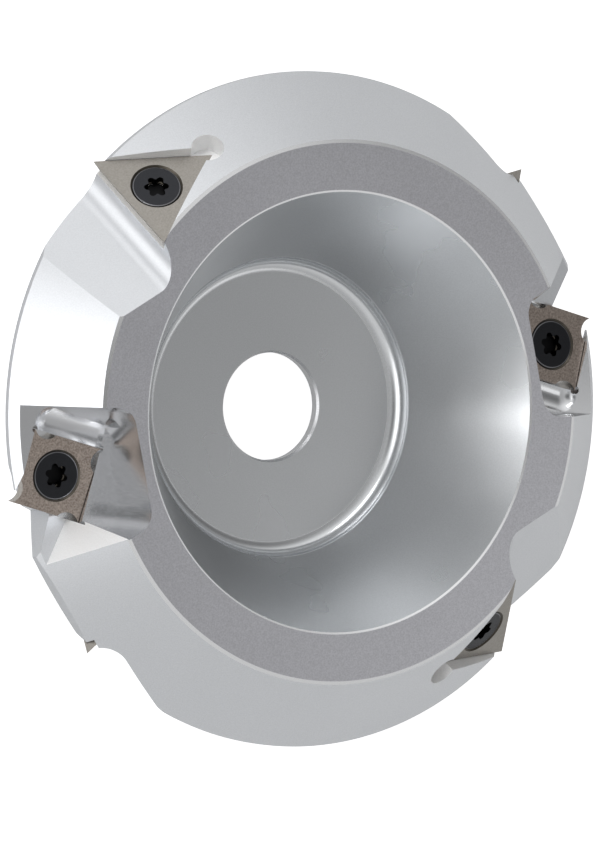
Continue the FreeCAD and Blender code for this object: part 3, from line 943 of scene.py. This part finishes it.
# %% [markdown]
# ## Placing them
# All squares are alike, and so are all triangles and all screws. Linked copies
# with a place of their own would be lighter, but the finished pieces have to
# sit at the origin like the solids. So each copy gets a mesh of its own, and
# the seat's frame is written into its vertices.

# %% Placing them
def placed(source, name, seat):
    """A copy of a piece in a seat, its place in its vertices."""
    thing = bpy.data.objects.new(name + "_visual", source.data.copy())
    bpy.context.scene.collection.objects.link(thing)
    thing.data.transform(shift(*(seat.translation * MM)) @ seat.to_3x3().to_4x4())
    smooth_by_angle(thing, PIECE_BREAK)
    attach(thing, "root")
    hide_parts(name)
    return thing


for number, tip in enumerate(SQUARE_TIPS, start=1):
    placed(square_source, "square_insert_%d" % number, square_seat(tip))
    placed(screw_source, "square_insert_screw_%d" % number, square_seat(tip))
for side, kind, tips in ((1, "front", FRONT_TIPS), (-1, "back", BACK_TIPS)):
    for number, tip in enumerate(tips, start=1):
        seat = triangle_seat(tip, side)
        placed(triangle_source, "%s_triangle_insert_%d" % (kind, number), seat)
        placed(screw_source, "%s_triangle_screw_%d" % (kind, number), seat)
for source in (screw_source, square_source, triangle_source):
    bpy.data.objects.remove(source)
print("inserts and screws:", 2 * (len(SQUARE_TIPS) + len(FRONT_TIPS) + len(BACK_TIPS)))

# %% [markdown]
# ## Stage
# Bare metal shows its surroundings more than itself, so the room is half of the
# picture. A ring of large lamps would do, and would take long to render clean.
# A sky with soft lobes is quicker: the room is brightest at the left, in front
# of the part, and darker at the right and behind the camera, which is what the
# shading of the cones and of the ring comes from. Two strip lights give the
# bright pockets their streaks, and a small card lights the foot of the bowl.
# The floor glows, so the ground seen through the bore is as pale as the rest.

# %% Floor
FLOOR_HALF, FLOOR_GLOW, FLOOR_GLOW_SEEN = 3.0, 0.13, 0.78


def make_floor():
    bm = bmesh.new()
    bmesh.ops.create_grid(bm, x_segments=1, y_segments=1, size=FLOOR_HALF)
    floor = mesh_object("floor", bm, None, 1.0)
    material = bpy.data.materials.new("paper_floor")
    material.use_nodes = True
    tree = material.node_tree
    camera_ray = add(tree, "LightPath").outputs["Is Camera Ray"]
    glow = add(tree, "MapRange", {"Value": camera_ray, "To Min": FLOOR_GLOW,
                                  "To Max": FLOOR_GLOW_SEEN})
    feed(tree, tree.nodes["Principled BSDF"], {
        "Base Color": colour("E4E4E4"),
        "Roughness": 0.9,
        "Emission Color": (1, 1, 1, 1),
        "Emission Strength": glow.outputs["Result"],
    })
    floor.data.materials.append(material)
    return floor


floor = make_floor()
print("floor:", 2 * FLOOR_HALF, "m wide")

# %% [markdown]
# ## Camera
# The camera stands far off with a long lens, so that the picture is nearly
# without perspective, as a product picture is. Its three directions were fitted
# to the photograph's outlines. The target is moved off the axis, so that the
# head stands where it does in the frame, and the lens needs no shift.

# %% Camera
TO_CAMERA = Vector((-0.4743, 0.1712, 0.8636))
UP = Vector((0.2687, 0.9623, -0.0433))
RIGHT = Vector((0.8385, -0.2114, 0.5024))
DISTANCE, LENS = 2.5, 573.4
HEAD_RIGHT_OF_MIDDLE, HEAD_ABOVE_MIDDLE = 7.636, 2.53


def make_camera():
    data = bpy.data.cameras.new("camera")
    data.sensor_fit = "VERTICAL"
    data.sensor_height = 36.0
    data.lens = LENS
    data.clip_end = 20.0
    camera = bpy.data.objects.new("camera", data)
    bpy.context.scene.collection.objects.link(camera)
    target = Vector((0, 0, HEIGHT)) * MM
    target = target - RIGHT * HEAD_RIGHT_OF_MIDDLE * MM - UP * HEAD_ABOVE_MIDDLE * MM
    turn = Matrix((RIGHT, UP, TO_CAMERA)).transposed().to_4x4()
    camera.matrix_world = Matrix.Translation(target + TO_CAMERA.normalized() * DISTANCE) @ turn
    bpy.context.scene.camera = camera
    return camera


camera = make_camera()
bpy.context.scene.view_settings.view_transform = "Standard"
print("camera at", [round(v, 3) for v in camera.matrix_world.translation])

# %% [markdown]
# ## Light
# Each lobe of the sky is a direction as the camera sees it (right, up and
# toward the camera), half its width, and the brightness that it adds. A
# negative one makes that side of the room darker.

# %% Sky
SKY = 0.72
SKY_LOBES = [
    ((-0.65, -0.02, 0.75), 42, 1.5),
    ((0.87, -0.08, 0.49), 58, -0.27),
    ((0.95, 0.25, 0.15), 35, -0.3),
    ((0.05, 0.0, 1.0), 24, -0.55),
    ((0.1, 0.9, 0.4), 40, 0.25),
]


def lobe(tree, direction, way, wide, amount):
    """Brightness added around one direction of the sky, fading out over an angle."""
    facing = add(tree, "VectorMath", {0: direction, 1: Vector(way).normalized()},
                 operation="DOT_PRODUCT").outputs["Value"]
    return add(tree, "MapRange", {"Value": facing, "From Min": math.cos(math.radians(wide)),
                                  "From Max": 1.0, "To Min": 0.0, "To Max": amount},
               interpolation_type="SMOOTHSTEP").outputs["Result"]


def make_sky():
    world = bpy.data.worlds.new("studio")
    world.use_nodes = True
    bpy.context.scene.world = world
    tree = world.node_tree
    direction = add(tree, "TexCoord").outputs["Generated"]
    total = add(tree, "Value").outputs["Value"]
    total.default_value = SKY
    for (right, up, near), wide, amount in SKY_LOBES:
        way = RIGHT * right + UP * up + TO_CAMERA * near
        part = lobe(tree, direction, way, wide, amount)
        total = add(tree, "Math", {0: total, 1: part}, operation="ADD").outputs["Value"]
    feed(tree, tree.nodes["Background"], {"Color": (1, 1, 1, 1), "Strength": total})


make_sky()
print("sky lobes:", len(SKY_LOBES))

# %% Strips and card
def area_light(name, position, target, width, height, power):
    data = bpy.data.lights.new(name, "AREA")
    data.shape = "RECTANGLE"
    data.size = width
    data.size_y = height
    data.energy = power
    lamp = bpy.data.objects.new(name, data)
    bpy.context.scene.collection.objects.link(lamp)
    way = Vector(position) - Vector(target)
    lamp.matrix_world = Matrix.Translation(position) @ way.to_track_quat("Z", "Y").to_matrix().to_4x4()
    return lamp


# Places and sizes are metres, and the last number is watts.
middle = Vector((0, 0, 0.014))
area_light("left_strip", middle - 0.95 * RIGHT + 0.5 * TO_CAMERA, middle, 0.12, 0.8, 1.6)
area_light("top_strip", middle + 0.8 * UP + 0.7 * TO_CAMERA, middle, 0.6, 0.1, 1.2)
area_light("dish_card", (0.19, -0.12, 0.27), (0.03, -0.04, 0.0), 0.10, 0.10, 0.02)
print("lamps:", len(bpy.data.lights))

# %% [markdown]
# ## The end


print("done")
